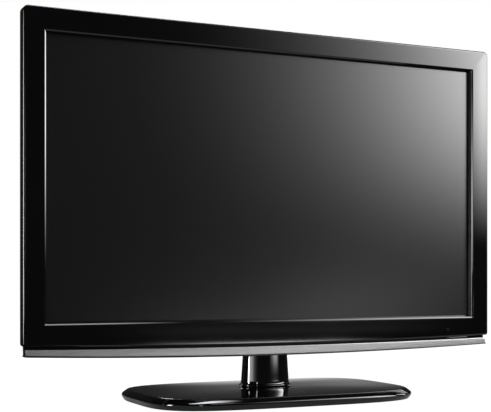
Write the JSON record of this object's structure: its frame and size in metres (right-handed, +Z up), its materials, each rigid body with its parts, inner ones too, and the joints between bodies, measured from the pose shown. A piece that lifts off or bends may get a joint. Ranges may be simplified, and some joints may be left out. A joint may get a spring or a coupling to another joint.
{
  "type": "flat screen tv",
  "caption": "Flat screen LCD television with a gloss black bezel, silver chin trim, jack recess, wall-mount holes and a swivelling table stand.",
  "frame": {"origin": "on the table, under the middle of the stand's base", "axes": "+X to the right seen from the front, +Y to the back, +Z up; the screen faces -Y"},
  "size_m": [0.77, 0.2678, 0.5532],
  "materials": {
    "gloss_black": "piano gloss black",
    "silver_trim": "brushed silver",
    "cover_black": "fine spark texture",
    "black_plastic": "moulded matte",
    "key_black": "satin",
    "screen_dark": "anti-glare matte",
    "ir_dark_red": "tinted",
    "light_pipe": "clear frosted",
    "white_film": "white matte",
    "lamp_tube": "phosphor white",
    "sheet_steel": "zinc-coated sheet",
    "socket_metal": "nickel plated",
    "socket_blue": "moulded",
    "socket_coloured": "moulded, one colour per signal",
    "socket_green": "moulded",
    "board_green": "solder mask",
    "board_tan": "paper laminate",
    "ribbon": "film",
    "wire": "insulated wire",
    "heat_sink_metal": "extruded",
    "screw_dark": "black oxide",
    "screw_zinc": "zinc",
    "painted_steel": "powder coat",
    "shaft_steel": "turned",
    "acetal": "natural acetal",
    "rubber": "matte"
  },
  "bodies": {
    "base": {"base_cover": "gloss_black", "base_plate": "painted_steel", "swivel_shaft": "shaft_steel", "swivel_washer": "acetal", "swivel_nut": "shaft_steel", "base_screws": "screw_dark", "rubber_feet": "rubber"},
    "head": {"front_bezel": "gloss_black", "lower_lip": "gloss_black", "neck_front_cover": "gloss_black", "neck_rear_cover": "gloss_black", "chin_trim": "silver_trim", "rear_cover": "cover_black", "panel_mid_frame": "black_plastic", "jack_tray": "black_plastic", "ac_inlet": "black_plastic", "optical_socket": "black_plastic", "speaker_left": "black_plastic", "speaker_right": "black_plastic", "lcd_glass": "screen_dark", "ir_window": "ir_dark_red", "standby_light": "light_pipe", "prism_film": "white_film", "diffuser_film": "white_film", "diffuser_plate": "white_film", "reflector_sheet": "white_film", "lamp_holders": "white_film", "backlight_lamps": "lamp_tube", "panel_front_frame": "sheet_steel", "back_chassis": "sheet_steel", "bracket_left": "sheet_steel", "bracket_right": "sheet_steel", "hdmi_sockets": "socket_metal", "usb_socket": "socket_metal", "antenna_socket": "socket_metal", "vga_socket": "socket_blue", "rca_sockets": "socket_coloured", "audio_socket": "socket_green", "source_boards": "board_green", "timing_board": "board_green", "main_board": "board_green", "ir_board": "board_green", "key_board": "board_green", "power_board": "board_tan", "panel_ribbons": "ribbon", "signal_ribbon": "ribbon", "power_harness": "wire", "heat_sink": "heat_sink_metal", "cover_screws": "screw_dark", "stand_screws": "screw_dark", "board_screws": "screw_zinc", "neck_post": "painted_steel"},
    "key_power": {"key_power": "key_black"},
    "key_input": {"key_input": "key_black"},
    "key_menu": {"key_menu": "key_black"},
    "key_ok": {"key_ok": "key_black"},
    "key_volume_down": {"key_volume_down": "key_black"},
    "key_volume_up": {"key_volume_up": "key_black"},
    "key_channel_down": {"key_channel_down": "key_black"},
    "key_channel_up": {"key_channel_up": "key_black"}
  },
  "joints": [
    {"name": "swivel", "type": "hinge", "parent": "base", "child": "head", "pos_m": [0, 0.008, 0.007], "axis": [0, 0, 1], "range_deg": [-20, 20]},
    {"name": "press_power", "type": "slide", "parent": "head", "child": "key_power", "axis": [-1, 0, 0], "range_m": [0, 0.0008], "stiffness_N_per_m": 1800},
    {"name": "press_input", "type": "slide", "parent": "head", "child": "key_input", "axis": [-1, 0, 0], "range_m": [0, 0.0008], "stiffness_N_per_m": 1800},
    {"name": "press_menu", "type": "slide", "parent": "head", "child": "key_menu", "axis": [-1, 0, 0], "range_m": [0, 0.0008], "stiffness_N_per_m": 1800},
    {"name": "press_ok", "type": "slide", "parent": "head", "child": "key_ok", "axis": [-1, 0, 0], "range_m": [0, 0.0008], "stiffness_N_per_m": 1800},
    {"name": "press_volume_down", "type": "slide", "parent": "head", "child": "key_volume_down", "axis": [-1, 0, 0], "range_m": [0, 0.0008], "stiffness_N_per_m": 1800},
    {"name": "press_volume_up", "type": "slide", "parent": "head", "child": "key_volume_up", "axis": [-1, 0, 0], "range_m": [0, 0.0008], "stiffness_N_per_m": 1800},
    {"name": "press_channel_down", "type": "slide", "parent": "head", "child": "key_channel_down", "axis": [-1, 0, 0], "range_m": [0, 0.0008], "stiffness_N_per_m": 1800},
    {"name": "press_channel_up", "type": "slide", "parent": "head", "child": "key_channel_up", "axis": [-1, 0, 0], "range_m": [0, 0.0008], "stiffness_N_per_m": 1800}
  ]
}
